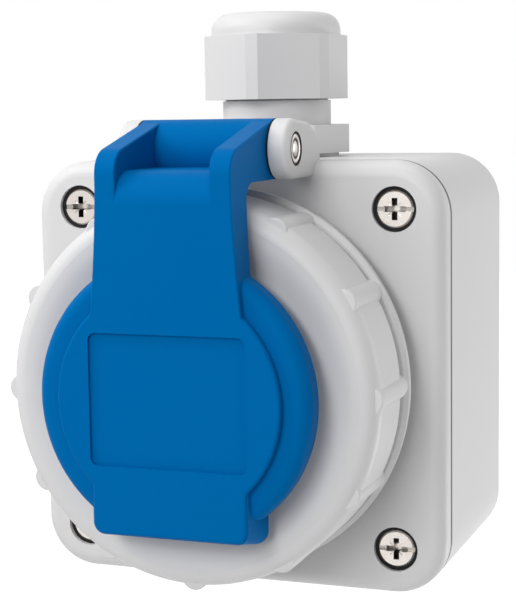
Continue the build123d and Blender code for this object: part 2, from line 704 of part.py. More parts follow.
def make_hinge_pin():
    """The pin with a riveted head in each ear, dimpled by the riveting tool."""
    seat = EAR_OUTER - PIN_HEAD - PIN_HEAD_RECESS
    end = seat + PIN_HEAD
    head = hinge_bar(PIN_HEAD_RADIUS, seat, end) - hinge_bar(PIN_DIMPLE_RADIUS, end - PIN_DIMPLE, end)
    return hinge_bar(PIN_RADIUS, -seat, seat) + head + mirror(head, Plane.YZ)


def below_rim_end():
    """What the round rim loses at the bottom, where it ends on the tab's sides."""
    height = LID_RADIUS - RIM_END + SEAM
    shape = Pos(0, -RIM_END - height / 2) * Rectangle(2 * LID_RADIUS, height)
    return block(shape, LID_RIM_DEPTH, LID_FACE)


def lid_shell():
    """The lid's round cup: a rounded rim, a flat face and the boss that the ring turns on."""
    inner_face = LID_FACE - LID_WALL
    inner_radius = LID_RADIUS - LID_WALL
    cup = outline(
        (0, LID_FACE),
        (LID_RADIUS, LID_FACE, LID_EDGE_RADIUS),
        (LID_RADIUS, LID_RIM_DEPTH),
        (inner_radius, LID_RIM_DEPTH),
        (inner_radius, inner_face, LID_EDGE_RADIUS - LID_WALL / 2),
        (0, inner_face),
    )
    shell = turned(cup) - below_rim_end()
    shell += tube(BOSS_RADIUS - BOSS_WALL, BOSS_RADIUS, LID_DISC_FRONT, plate_rear())
    for x, z in on_circle(LID_SCREW_CIRCLE, LID_SCREW_COUNT, 90):
        shell += round_bar(LID_POST_RADIUS, LID_DISC_FRONT, plate_rear(), x, z)
    return shell


def arm_front():
    """Front view of the arm: straight at the hinge, flaring to the disc."""
    top = HINGE_HEIGHT + BARREL_RADIUS
    flare = HINGE_HEIGHT - ARM_FLARE_DROP
    half = ARM_HALF_WIDTH
    low = ARM_HALF_WIDTH_LOW
    middle = (flare + ARM_FLARE_BOTTOM) / 2
    sag = half + (low - half) * ARM_FLARE_SHARE
    right = ThreePointArc((half, flare), (sag, middle), (low, ARM_FLARE_BOTTOM))
    left = ThreePointArc((-low, ARM_FLARE_BOTTOM), (-sag, middle), (-half, flare))
    rest = [
        Line((-half, flare), (-half, top)),
        Line((-half, top), (half, top)),
        Line((half, top), (half, flare)),
        Line((low, ARM_FLARE_BOTTOM), (low, 0)),
        Line((low, 0), (-low, 0)),
        Line((-low, 0), (-low, ARM_FLARE_BOTTOM)),
    ]
    return make_face([right, left] + rest)


def plate_rear():
    """Depth of the rear face of the lid's flat front wall."""
    return LID_FACE - LID_WALL / 2


def cheek_outline():
    """Side view of a cheek: from the barrel down a slope to the front, and along the rear edge."""
    slope = radians(CHEEK_SLOPE)
    bottom = HINGE_HEIGHT - BARREL_RADIUS
    start_depth = HINGE_DEPTH + CHEEK_LEVEL * sin(slope)
    start_height = HINGE_HEIGHT + CHEEK_LEVEL * cos(slope)
    front_height = start_height - (LID_FRONT - start_depth) * tan(slope)
    low = sqrt(BOSS_RADIUS**2 - ARM_HALF_WIDTH**2) - SEAM
    return outline(
        (HINGE_DEPTH, HINGE_HEIGHT),
        (start_depth, start_height),
        (LID_FRONT, front_height, CHEEK_ROUNDING),
        (LID_FRONT, PLATEAU_RADIUS / 2),
        (plate_rear(), PLATEAU_RADIUS / 2),
        (plate_rear(), low),
        (LID_RIM_DEPTH, low),
        (LID_FRONT - ARM_DEPTH, bottom, ARM_INNER_ROUNDING),
        (HINGE_DEPTH, bottom),
    )


def arm_web():
    """Side view of the wall between the cheeks: a floor from the barrel that bends down the front."""
    floor = HINGE_HEIGHT - BARREL_RADIUS
    top = floor + ARM_FLOOR
    low = PLATEAU_RADIUS / 2
    return outline(
        (HINGE_DEPTH, floor),
        (HINGE_DEPTH, top),
        (LID_FRONT, top, ARM_BEND_RADIUS),
        (LID_FRONT, low),
        (plate_rear(), low),
        (plate_rear(), floor, ARM_BEND_RADIUS - ARM_FLOOR),
    )


def make_cheek():
    """The right-hand cheek of the arm, with softened edges along its front and top."""
    cheek = side_block(cheek_outline(), ARM_HALF_WIDTH - CHEEK_WIDTH, ARM_HALF_WIDTH_LOW + 1)
    cheek &= block(arm_front(), HINGE_DEPTH - BARREL_RADIUS, LID_FRONT)
    upright = [edge for edge in front_edges(cheek) if abs(edge.tangent_at(0.5).X) < 0.5]
    return fillet(upright, CHEEK_SOFTENING)


def make_arm():
    """The lid's arm: two cheeks, the web between them and the hinge barrel."""
    cheek = make_cheek()
    arm = cheek + mirror(cheek, Plane.YZ)
    reach = ARM_HALF_WIDTH - CHEEK_WIDTH + CHEEK_SOFTENING + SEAM
    arm += side_block(arm_web(), -reach, reach)
    arm += hinge_bar(BARREL_RADIUS, -ARM_HALF_WIDTH, ARM_HALF_WIDTH)
    return arm


def tab_section(depth, inset, bottom, rounding):
    """The tab's outline at a depth, wider towards the rear and drawn in by an inset."""
    share = (LID_FRONT - depth) / (LID_FRONT - LID_RIM_DEPTH)
    half = TAB_HALF_WIDTH + TAB_FLARE * share - inset
    low = bottom - TAB_DROP * share + inset
    shape = outline((-half, TAB_TOP), (-half, low, rounding), (half, low, rounding), (half, TAB_TOP))
    return at_depth(depth) * shape


def make_tab():
    """The grip tab under the disc: a hollow box that flares to the rear, where it is open."""
    front = LID_FRONT - FRONT_SOFTENING
    outer_front = tab_section(front, 0, TAB_BOTTOM, TAB_ROUNDING)
    outer_rear = tab_section(LID_RIM_DEPTH, 0, TAB_BOTTOM, TAB_REAR_ROUNDING)
    inner_front = tab_section(plate_rear(), LID_WALL, TAB_BOTTOM, TAB_ROUNDING)
    inner_rear = tab_section(LID_RIM_DEPTH, LID_WALL, TAB_BOTTOM, TAB_ROUNDING)
    return loft([outer_front, outer_rear]) - loft([inner_front, inner_rear])


def front_plate():
    """The lid's flat front below the arm: the raised round centre and the tab in one outline."""
    tab_middle = (TAB_TOP + TAB_BOTTOM) / 2
    tab = Pos(0, tab_middle) * Rectangle(2 * TAB_HALF_WIDTH, TAB_TOP - TAB_BOTTOM)
    shape = Circle(PLATEAU_RADIUS) + tab
    tips = [point for point in shape.vertices() if point.Y < tab_middle]
    shape = fillet(tips, TAB_ROUNDING)
    joins = [point for point in shape.vertices() if tab_middle < point.Y < TAB_TOP / 2]
    shape = fillet(joins, TAB_BLEND)
    plate = block(shape, plate_rear(), LID_FRONT)
    return fillet(front_edges(plate), FRONT_SOFTENING)


def make_lid():
    """The lid in one piece: disc, raised front, arm, tab and label recess."""
    lid = lid_shell() + front_plate()
    lid += make_arm()
    lid += make_tab()
    label_height = LABEL_TOP - LABEL_BOTTOM
    label = RectangleRounded(LABEL_WIDTH, label_height, LABEL_ROUNDING)
    lid -= block(Pos(0, (LABEL_TOP + LABEL_BOTTOM) / 2) * label, LID_FRONT - LABEL_RECESS, LID_FRONT)
    lid -= hinge_bar(PIN_RADIUS + PIN_RUNNING_CLEARANCE, -EAR_OUTER, EAR_OUTER)
    for x, z in on_circle(LID_SCREW_CIRCLE, LID_SCREW_COUNT, 90):
        end = lid_screw_seat() + LID_SCREW_LENGTH + 1
        lid -= round_bar(LID_SCREW_RADIUS + THREAD_CLEARANCE, LID_DISC_FRONT, end, x, z)
    return lid


def lid_screw_seat():
    """Depth of the seat under a lid screw's head."""
    return LID_DISC_REAR + LID_SCREW_HEAD


def make_lid_disc():
    """The disc behind the ring, with the groove for the lid's seal and three screw seats."""
    disc = round_bar(LID_DISC_RADIUS, LID_DISC_REAR, LID_DISC_FRONT)
    inner = LID_SEAL_INNER - LID_SEAL_GAP
    outer = LID_SEAL_OUTER + LID_SEAL_GAP
    disc -= tube(inner, outer, LID_DISC_REAR, LID_DISC_REAR + LID_SEAL_SEAT)
    for x, z in on_circle(LID_SCREW_CIRCLE, LID_SCREW_COUNT, 90):
        disc -= round_bar(LID_SCREW_RADIUS + SCREW_CLEARANCE, LID_DISC_REAR, LID_DISC_FRONT, x, z)
        disc -= round_bar(LID_SCREW_HEAD_RADIUS + SCREW_CLEARANCE, LID_DISC_REAR, lid_screw_seat(), x, z)
    return disc


def make_lid_seal():
    """The soft ring in the disc's groove, which closes on the collar's face."""
    front = LID_DISC_REAR + LID_SEAL_SEAT
    rear = COLLAR_FRONT + SEAL_FACE_GAP
    return tube(LID_SEAL_INNER, LID_SEAL_OUTER, rear, front)


def make_lid_screws():
    """The three screws between the disc and the lid's posts."""
    seat = lid_screw_seat()
    screws = []
    for x, z in on_circle(LID_SCREW_CIRCLE, LID_SCREW_COUNT, 90):
        head = round_bar(LID_SCREW_HEAD_RADIUS, seat - LID_SCREW_HEAD, seat, x, z)
        slot = Pos(x, z) * Rectangle(3 * LID_SCREW_HEAD_RADIUS, SLOT_WIDTH)
        head -= block(slot, seat - LID_SCREW_HEAD, seat - LID_SCREW_HEAD / 2)
        screws.append(head + round_bar(LID_SCREW_RADIUS, seat, seat + LID_SCREW_LENGTH, x, z))
    return screws


def ring_outline():
    """Half section of the ring: web, dished front, rounded shoulder, skirt, groove and flange."""
    crest = RING_RADIUS - RING_SHOULDER_RADIUS
    side = RING_CREST - RING_SHOULDER_RADIUS
    turn = RING_SHOULDER_RADIUS * sin(radians(45))
    bevel = RING_FLANGE_RADIUS - FLANGE_BEVEL
    inside = side - RING_WALL
    dish = Spline((RING_DISH_RADIUS, RING_WEB_FRONT), (crest, RING_CREST), tangents=[(1, 0), (1, 0)])
    shoulder = ThreePointArc((crest, RING_CREST), (crest + turn, side + turn), (RING_RADIUS, side))
    skirt = Polyline(
        (RING_RADIUS, side),
        (RING_RADIUS, RING_SKIRT_REAR),
        (RING_GROOVE_RADIUS, RING_SKIRT_REAR),
        (RING_GROOVE_RADIUS, RING_FLANGE_FRONT),
        (bevel, RING_FLANGE_FRONT),
        (RING_FLANGE_RADIUS, RING_FLANGE_FRONT - FLANGE_BEVEL),
        (RING_FLANGE_RADIUS, RING_REAR),
        (RING_INNER_RADIUS, RING_REAR),
        (RING_INNER_RADIUS, inside),
        (RING_INNER_RADIUS - RING_WEB_REAR + inside, RING_WEB_REAR),
        (RING_BORE, RING_WEB_REAR),
        (RING_BORE, RING_WEB_FRONT),
        (RING_DISH_RADIUS, RING_WEB_FRONT),
    )
    return make_face([dish, shoulder, skirt])


def make_rib():
    """One grip rib at angle 0: half a round bar on the skirt, cut off square at the front."""
    middle = RIB_OUTER_RADIUS - RIB_RADIUS
    rear = RING_FLANGE_FRONT - RING_FLANGE / 4
    bar = round_bar(RIB_RADIUS, rear, RING_CREST - RIB_SETBACK, middle)
    bar = fillet(front_edges(bar), RIB_EDGE)
    return bar - round_bar(RING_GROOVE_RADIUS - SEAM, rear, RING_CREST)


def make_locking_ring():
    """The bayonet ring: turned body, grip ribs and inner lugs."""
    ring = turned(ring_outline())
    rib = make_rib()
    ribs = [Rotation(0, -RIB_TURN - 360 * i / RIB_COUNT, 0) * rib for i in range(RIB_COUNT)]
    ring = ring.fuse(*ribs)
    lug = rectangle(RING_LUG_INNER_RADIUS, RING_INNER_RADIUS + 1, RING_LUG_REAR, RING_LUG_FRONT)
    lugs = [turned(lug, RING_LUG_SWEEP, RING_LUG_ANGLE + 360 * i / LUG_COUNT) for i in range(LUG_COUNT)]
    return ring.fuse(*lugs)


def make_gland_body():
    """The gland's body: threaded shank, hexagon, neck and upper thread, bored for the cable."""
    shank_bottom = HOUSING_TOP - GLAND_SHANK
    body = gland_prism(hexagon(GLAND_BASE_FLATS, GLAND_BASE_TURN), GLAND_BASE_BOTTOM, GLAND_NECK_BOTTOM)
    body += gland_prism(Circle(GLAND_SHANK_RADIUS), shank_bottom, GLAND_BASE_BOTTOM)
    body += gland_prism(Circle(GLAND_NECK_RADIUS), GLAND_NECK_BOTTOM, GLAND_NECK_TOP)
    body += gland_prism(Circle(GLAND_THREAD_RADIUS), GLAND_NECK_TOP, GLAND_BODY_TOP)
    body -= gland_prism(Circle(GLAND_BORE), shank_bottom, GLAND_BODY_TOP)
    return body - gland_prism(Circle(CLAW_RADIUS + SEAL_SLEEVE_GAP), CLAW_BOTTOM, GLAND_BODY_TOP)


def make_gland_gasket():
    """The flat washer under the hexagon."""
    shape = Circle(GLAND_GASKET_RADIUS) - Circle(GLAND_SHANK_RADIUS + GLAND_HOLE_CLEARANCE)
    return gland_prism(shape, HOUSING_TOP, GLAND_BASE_BOTTOM)


def make_gland_locknut():
    """The hexagon nut inside the box."""
    top = HOUSING_TOP - WALL - GLAND_PAD
    shape = hexagon(LOCKNUT_FLATS) - Circle(GLAND_SHANK_RADIUS + LOCKNUT_CLEARANCE)
    return gland_prism(shape, top - LOCKNUT_HEIGHT, top)


def make_gland_claw():
    """The slotted cage round the sealing sleeve."""
    shape = Circle(CLAW_RADIUS) - Circle(CLAW_RADIUS - CLAW_WALL)
    claw = gland_prism(shape, CLAW_BOTTOM, CLAW_TOP)
    for i in range(CLAW_FINGERS // 2):
        slot = Rot(0, 0, 360 * i / CLAW_FINGERS) * Rectangle(3 * CLAW_RADIUS, CLAW_SLOT)
        claw -= gland_prism(slot, CLAW_BOTTOM + CLAW_SEAT / 2, CLAW_TOP)
    return claw


def make_gland_seal():
    """The rubber sleeve that grips the cable."""
    outer = CLAW_RADIUS - CLAW_WALL - SEAL_SLEEVE_GAP
    shape = Circle(outer) - Circle(SEAL_SLEEVE_BORE)
    return gland_prism(shape, CLAW_BOTTOM, CLAW_TOP - CLAW_TOP_GAP)


def make_gland_nut():
    """The domed nut: a hexagon with flattened corners under a rounded crown."""
    hex_top = NUT_BOTTOM + NUT_HEX_HEIGHT
    shape = hexagon(NUT_FLATS) & hexagon(2 * NUT_CORNER_RADIUS, NUT_CORNER_TURN)
    nut = gland_prism(shape, NUT_BOTTOM, hex_top)
    crown = outline(
        (0, hex_top - 1),
        (NUT_DOME_RADIUS, hex_top - 1),
        (NUT_DOME_RADIUS, NUT_TOP, NUT_DOME_ROUNDING),
        (0, NUT_TOP),
    )
    nut += gland_turned(crown)
    room = outline(
        (0, NUT_BOTTOM),
        (NUT_BORE, NUT_BOTTOM),
        (NUT_BORE, GLAND_BODY_TOP + 1),
        (CLAW_RADIUS + CLAW_TOP_GAP, GLAND_BODY_TOP + NUT_TAPER),
        (CLAW_RADIUS + CLAW_TOP_GAP, CLAW_TOP + CLAW_TOP_GAP),
        (0, CLAW_TOP + CLAW_TOP_GAP),
    )
    nut -= gland_turned(room)
    return nut - gland_prism(Circle(NUT_HOLE_RADIUS), CLAW_TOP, NUT_TOP)


def save(name, shape):
    """Writes one node. A list of solids becomes one group."""
    solid = Compound(children=shape) if isinstance(shape, list) else shape
    export_step(solid, f"parts/{name}.step")


def main():
    os.makedirs("parts", exist_ok=True)
    save("rear_box", make_rear_box())
    save("front_cover", make_front_cover())
    save("cover_seal", make_cover_seal())
    save("cover_screws", make_cover_screws())
    save("screw_seals", make_screw_seals())
    save("socket_insert", make_socket_insert())
    save("insert_seal", make_insert_seal())
    save("insert_screws", make_insert_screws())
    save("contact_left", make_contact(-1))
    save("contact_right", make_contact(1))
    save("earth_clip", make_earth_clip())
    save("terminal_screws", make_terminal_screws())
    save("insert_back", make_insert_back())
    save("hinge_pin", make_hinge_pin())
    save("lid", make_lid())
    save("lid_disc", make_lid_disc())
    save("lid_seal", make_lid_seal())
    save("lid_screws", make_lid_screws())
    save("locking_ring", make_locking_ring())
    save("gland_body", make_gland_body())
    save("gland_gasket", make_gland_gasket())
    save("gland_locknut", make_gland_locknut())
    save("gland_claw", make_gland_claw())
    save("gland_seal", make_gland_seal())
    save("gland_nut", make_gland_nut())


main()
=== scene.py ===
import json
import math

import bmesh
import bpy
from mathutils import Matrix, Vector


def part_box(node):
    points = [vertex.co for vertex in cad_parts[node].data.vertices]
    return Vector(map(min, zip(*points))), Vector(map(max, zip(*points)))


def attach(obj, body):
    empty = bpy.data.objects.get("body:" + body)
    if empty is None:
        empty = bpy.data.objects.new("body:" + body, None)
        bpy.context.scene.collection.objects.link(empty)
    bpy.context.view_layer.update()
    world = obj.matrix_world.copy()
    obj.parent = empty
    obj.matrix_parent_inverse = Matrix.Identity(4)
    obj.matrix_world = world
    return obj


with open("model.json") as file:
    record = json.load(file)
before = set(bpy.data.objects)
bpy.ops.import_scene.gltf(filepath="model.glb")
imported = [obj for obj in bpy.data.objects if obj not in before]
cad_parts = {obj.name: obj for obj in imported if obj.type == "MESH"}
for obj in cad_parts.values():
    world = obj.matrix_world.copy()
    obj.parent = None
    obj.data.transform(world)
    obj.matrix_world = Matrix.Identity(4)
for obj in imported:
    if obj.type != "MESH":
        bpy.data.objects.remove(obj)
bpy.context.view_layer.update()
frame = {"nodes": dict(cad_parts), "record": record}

# Metres, with the origin on the wall at the socket's axis, +X to the right, +Y into the wall and +Z up.
MM = 0.001

# Camera, as the photograph was taken, with its sensor in millimetres
PHOTO_HEIGHT = 600
FOCAL_PIXELS = 1604.2
SENSOR_HEIGHT = 24.0
CAMERA_PLACE = Vector((0.11318, -0.34053, 0.05164))
CAMERA_YAW = math.radians(20.374)
CAMERA_DIP = math.radians(6.770)
CAMERA_ROLL = math.radians(-0.877)

# Studio
AMBIENT = 0.42
FLOOR_DROP = 0.30
FLOOR_SIZE = 6.0
FLOOR_GLOW = 0.70
AIM = Vector((0, -0.03, 0))

# Cover screws: the depths between which painted shade darkens their recess, and its middle, which stays
# bright
SCREW_HEAD_RADIUS = 3.6 * MM
RECESS_START = 0.2 * MM
RECESS_END = 0.9 * MM
RECESS_MIDDLE = 0.35 * MM
RECESS_FADE = 0.4 * MM
LEVEL_ARM_SHADE = 0.6

# Seam between box and cover, with the line of painted shade along it
SEAM_DEPTH = 45.05 * MM
SEAM_REACH = 0.8 * MM
SEAM_FADE = 0.4 * MM

# Hinge pin's closed end, in millimetres: how far each corner stands past the pin's head, and its radius
PIN_SPIGOT = ((-0.45, 0), (-0.45, 1.85), (0, 1.85))
PIN_FLANGE = ((0, 2.74), (0.34, 2.74), (0.42, 2.64), (0.42, 2.02))
PIN_GROOVE = ((0.16, 1.80), (0.16, 1.56))
PIN_DOME = ((0.36, 1.34), (0.46, 0.70), (0.49, 0))
PIN_END = [(reach * MM, radius * MM) for reach, radius in PIN_SPIGOT + PIN_FLANGE + PIN_GROOVE + PIN_DOME]
PIN_END_RADIUS = max(radius for reach, radius in PIN_END)
# Painted shade round the groove of the pin's end: its radius, its reach and its fade
PIN_LINE_RADIUS = 1.68 * MM
PIN_LINE_REACH = 0.35 * MM
PIN_LINE_FADE = 0.175 * MM

# Black ring that fills the seat round the pin's end, a dark piece standing in for the shade in that gap:
# its place past the pin's head, and its cord
PIN_SEAT_RADIUS = 3.2 * MM
RING_STAND = 0.38 * MM
RING_CORD_RADIUS = 0.2 * MM
RING_CORD_SIDES = 12

# Black washers on the hinge pin, dark pieces standing in for the shade in the gaps between the lid's
# barrel and the ears
BARREL_END = 13.0 * MM
EAR_GAP = 0.4 * MM
WASHER_PLAY = 0.06 * MM
WASHER_BORE_RADIUS = 2.1 * MM
WASHER_RADIUS = 5.5 * MM

# Turned pieces
TURN_STEPS = 64
MERGE_DISTANCE = 0.004 * MM


class Number:
    """A socket of a material's nodes, on which sums are written as plain arithmetic."""

    def __init__(self, finish, socket):
        self.finish = finish
        self.socket = socket

    def sum(self, operation, first, second):
        return self.finish.node("Math", {"operation": operation}, {0: first, 1: second})

    def __add__(self, other):
        return self.sum("ADD", self, other)

    def __sub__(self, other):
        return self.sum("SUBTRACT", self, other)

    def __rsub__(self, other):
        return self.sum("SUBTRACT", other, self)

    def __mul__(self, other):
        return self.sum("MULTIPLY", self, other)

    def __truediv__(self, other):
        return self.sum("DIVIDE", self, other)

    def __abs__(self):
        return self.finish.node("Math", {"operation": "ABSOLUTE"}, {0: self})

    def __pow__(self, other):
        return self.sum("POWER", self, other)

    def clamped(self):
        """The same number, held between 0 and 1."""
        return self.finish.node("Clamp", None, {"Value": self})

    __radd__ = __add__
    __rmul__ = __mul__


class Finish:
    """One material, built node by node."""

    def __init__(self, name, holder=None):
        self.material = holder or bpy.data.materials.new(name)
        self.material.use_nodes = True
        self.tree = self.material.node_tree
        self.tree.nodes.clear()
        self.place = self.node("TexCoord", out="Object")

    def node(self, kind, settings=None, inputs=None, out=0):
        """Adds a node with its settings, then its inputs, and gives one of its outputs."""
        made = self.tree.nodes.new("ShaderNode" + kind)
        for name, value in (settings or {}).items():
            setattr(made, name, value)
        for key, value in (inputs or {}).items():
            if isinstance(value, Number):
                self.tree.links.new(value.socket, made.inputs[key])
            else:
                made.inputs[key].default_value = value
        return Number(self, made.outputs[out])

    def noise(self, scale, detail=2.0, roughness=0.5):
        """Soft noise between 0 and 1, at a scale in repeats a metre."""
        inputs = {"Vector": self.place, "Scale": scale, "Detail": detail, "Roughness": roughness}
        return self.node("TexNoise", None, inputs)

    def along(self, axis):
        """The place along X, Y or Z."""
        return self.node("SeparateXYZ", None, {"Vector": self.place}, out=axis)

    def blend(self, amount, low, high):
        """A colour between two, by an amount from 0 to 1."""
        settings = {"data_type": "RGBA", "blend_type": "MIX"}
        return self.node("Mix", settings, {"Factor": amount, 6: low, 7: high}, out=2)

    def bump(self, height, depth):
        """A normal from a height between 0 and 1 that stands for a depth in metres."""
        return self.node("Bump", None, {"Height": height, "Distance": depth})

    def surface(self, inputs):
        """Ends the material in one shader."""
        shader = self.node("BsdfPrincipled", None, inputs)
        self.node_output(shader)
        return self.material

    def node_output(self, shader, kind="Material"):
        """Links a shader to the output of a material or of the world."""
        output = self.tree.nodes.new("ShaderNodeOutput" + kind)
        self.tree.links.new(shader.socket, output.inputs["Surface"])


def paint(red, green, blue):
    """A colour from its 0 to 255 levels on screen."""

    def level(value):
        share = value / 255
        return share / 12.92 if share <= 0.04045 else ((share + 0.055) / 1.055) ** 2.4

    return (level(red), level(green), level(blue), 1.0)


WHITE = (1, 1, 1, 1)
FLOOR_PALE = (0.9, 0.9, 0.9, 1)
HOUSING_GREYS = paint(213, 212, 212), paint(207, 206, 207)
INSERT_GREYS = paint(192, 193, 193), paint(184, 185, 186)
GASKET_GREYS = paint(186, 187, 188), paint(170, 171, 173)
LID_BLUES = paint(0, 101, 167), paint(0, 97, 161)
BLUE_SHEEN = (0.12, 0.5, 1, 1)
RUBBER_BLACKS = paint(14, 14, 15), paint(30, 30, 32)
STEELS = paint(228, 222, 216), paint(196, 189, 183)
BRASSES = paint(222, 190, 118), paint(176, 138, 74)
# Grey of the painted shade along the seam
SEAM_SHADE_GREY = paint(92, 92, 94)
# Dark steel of the painted shade in the screws' recess and the pin ends' groove
STEEL_IN_SHADE = paint(48, 43, 40)

# Moulded plastic: what its clouds and pores do to the colour, and its flow marks to grain and sheen
CLOUD_TONE = 0.6
PORE_TONE = 0.25
FLOW_GRAIN = 0.4
FLOW_SHEEN = 0.05


def span(amount, low, high):
    """A number between two, by an amount from 0 to 1."""
    return amount * (high - low) + low


def moulded_plastic(name, colours, roughness, grain, gloss, tint=WHITE, painted_shade=None):
    """Moulded plastic: a fine eroded grain, faint clouding in the colour and in the sheen."""
    finish = Finish(name)
    clouds = finish.noise(scale=28, detail=3)
    pores = finish.noise(scale=2600)
    flow = finish.noise(scale=160, detail=4, roughness=0.6)
    colour = finish.blend(clouds * CLOUD_TONE + pores * PORE_TONE, *colours)
    # Painted shade, where a mask is given, such as along the seam
    if painted_shade:
        colour = finish.blend(painted_shade(finish), colour, SEAM_SHADE_GREY)
    return finish.surface(
        {
            "Base Color": colour,
            "Roughness": span(flow, roughness - FLOW_SHEEN, roughness + FLOW_SHEEN),
            "Normal": finish.bump(pores + flow * FLOW_GRAIN, grain),
            "Specular IOR Level": gloss,
            "Specular Tint": tint,
        }
    )


def soft_rubber(name):
    """Matt black rubber with a chalky bloom."""
    finish = Finish(name)
    bloom = finish.noise(scale=420, detail=5, roughness=0.7)
    return finish.surface(
        {
            "Base Color": finish.blend(bloom, *RUBBER_BLACKS),
            "Roughness": span(bloom, 0.62, 0.77),
            "Specular IOR Level": 0.25,
            "Normal": finish.bump(finish.noise(scale=3200), 0.02 * MM),
        }
    )


def soft_gasket(name):
    """Pale soft plastic with a dull skin."""
    finish = Finish(name)
    bloom = finish.noise(scale=380, detail=4, roughness=0.6)
    return finish.surface(
        {
            "Base Color": finish.blend(bloom, *GASKET_GREYS),
            "Roughness": span(bloom, 0.6, 0.72),
            "Normal": finish.bump(finish.noise(scale=2400), 0.02 * MM),
        }
    )


def plated_steel(name, shadow=None):
    """Bright plated steel with fine marks and dulled patches, with painted shade where a shadow mask
    says.
    """
    finish = Finish(name)
    patches = finish.noise(scale=700, detail=4, roughness=0.6)
    colour = finish.blend(patches, *STEELS)
    if shadow:
        colour = finish.blend(shadow(finish), colour, STEEL_IN_SHADE)
    return finish.surface(
        {
            "Base Color": colour,
            "Metallic": 1.0,
            "Roughness": span(patches, 0.22, 0.34),
            "Normal": finish.bump(finish.noise(scale=5200), 0.008 * MM),
        }
    )


def bare_brass(name):
    """Stamped brass with a light tarnish."""
    finish = Finish(name)
    tarnish = finish.noise(scale=260, detail=5, roughness=0.65)
    return finish.surface(
        {
            "Base Color": finish.blend(tarnish, *BRASSES),
            "Metallic": 1.0,
            "Roughness": span(tarnish, 0.26, 0.46),
            "Normal": finish.bump(finish.noise(scale=3600), 0.008 * MM),
        }
    )


def line(distance, reach, fade):
    """1 on a line and 0 past its reach, with a fade up to there."""
    return ((reach - distance) / fade).clamped()


def painted_seam_shade(finish):
    """A thin line of painted shade along the seam between box and cover."""
    return line(abs(finish.along("Y") + SEAM_DEPTH), SEAM_REACH, SEAM_FADE)


def pin_groove_shade(finish):
    """A line of painted shade round the middle of the hinge pin's ends, in their groove."""
    middle = hinge_middle()
    across = finish.along("Y") - middle.y
    upward = finish.along("Z") - middle.z
    radius = (across * across + upward * upward) ** 0.5
    return line(abs(radius - PIN_LINE_RADIUS), PIN_LINE_REACH, PIN_LINE_FADE)


def recess_shadow(finish):
    """Painted shade that grows from the face of the cover screws' heads into their cross, but not at its
    middle.
    """
    low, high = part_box("cover_screws")
    depth = finish.along("Y") - low.y
    sunk = ((depth - RECESS_START) / (RECESS_END - RECESS_START)).clamped()
    across = abs(finish.along("X")) - (high.x - SCREW_HEAD_RADIUS)
    upward = abs(finish.along("Z")) - (high.z - SCREW_HEAD_RADIUS)
    radius = (across * across + upward * upward) ** 0.5
    off_middle = ((radius - RECESS_MIDDLE) / RECESS_FADE).clamped()
    upright_arm = ((abs(upward) - RECESS_MIDDLE) / RECESS_FADE).clamped()
    return sunk * off_middle * span(upright_arm, LEVEL_ARM_SHADE, 1)


def housing_plastic(name, painted_shade=None):
    """The pale plastic of the housing, the ring and the gland."""
    return moulded_plastic(name, HOUSING_GREYS, roughness=0.42, grain=0.012 * MM, gloss=0.3, painted_shade=painted_shade)


def insert_plastic(name):
    """The duller plastic of the socket's inner pieces."""
    return moulded_plastic(name, INSERT_GREYS, roughness=0.5, grain=0.01 * MM, gloss=0.3)


def lid_plastic(name):
    """The blue plastic of the lid, with a blue sheen."""
    return moulded_plastic(name, LID_BLUES, roughness=0.42, grain=0.01 * MM, gloss=0.02, tint=BLUE_SHEEN)


def make_finishes():
    """Every material of the socket, by the name of its slot in the record."""
    return {
        "housing_grey": housing_plastic("housing_grey"),
        "insert_grey": insert_plastic("insert_grey"),
        "lid_blue": lid_plastic("lid_blue"),
        "seal_rubber": soft_rubber("seal_rubber"),
        "gasket_grey": soft_gasket("gasket_grey"),
        "screw_steel": plated_steel("screw_steel"),
        "contact_brass": bare_brass("contact_brass"),
    }


def dress_nodes(finishes):
    """Gives each CAD node the finish of its slot, and three outer pieces one of their own."""
    # Housing plastic with painted shade along the seam between box and cover
    seamed = housing_plastic("seamed_grey", painted_seam_shade)
    own = {
        "front_cover": seamed,
        "rear_box": seamed,
        "cover_screws": plated_steel("cover_screw_steel", recess_shadow),
    }
    for part in frame["record"]["subparts"]:
        node = frame["nodes"][part["node"]]
        node.data.materials.clear()
        node.data.materials.append(own.get(part["node"]) or finishes[part["material_slot"]])


def hinge_middle():
    """The middle of the hinge pin."""
    low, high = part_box("hinge_pin")
    return (low + high) / 2


def turned(corners, middle):
    """A closed bmesh turned about the hinge's axis from corners along X and their radius."""
    shape = bmesh.new()
    points = [shape.verts.new((x, middle.y, middle.z + radius)) for x, radius in corners]
    edges = [shape.edges.new(pair) for pair in zip(points, points[1:])]
    bmesh.ops.spin(
        shape,
        geom=points + edges,
        cent=middle,
        axis=(1, 0, 0),
        angle=math.tau,
        steps=TURN_STEPS,
        use_merge=True,
    )
    bmesh.ops.remove_doubles(shape, verts=shape.verts, dist=MERGE_DISTANCE)
    bmesh.ops.recalc_face_normals(shape, faces=shape.faces)
    return shape


def add_piece(name, shape, finish, body):
    """Makes a smooth piece from a bmesh, with its finish, riding on a body."""
    mesh = bpy.data.meshes.new(name)
    shape.to_mesh(mesh)
    shape.free()
    mesh.shade_smooth()
    mesh.materials.append(finish)
    piece = bpy.data.objects.new(name, mesh)
    bpy.context.scene.collection.objects.link(piece)
    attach(piece, body)
    return piece


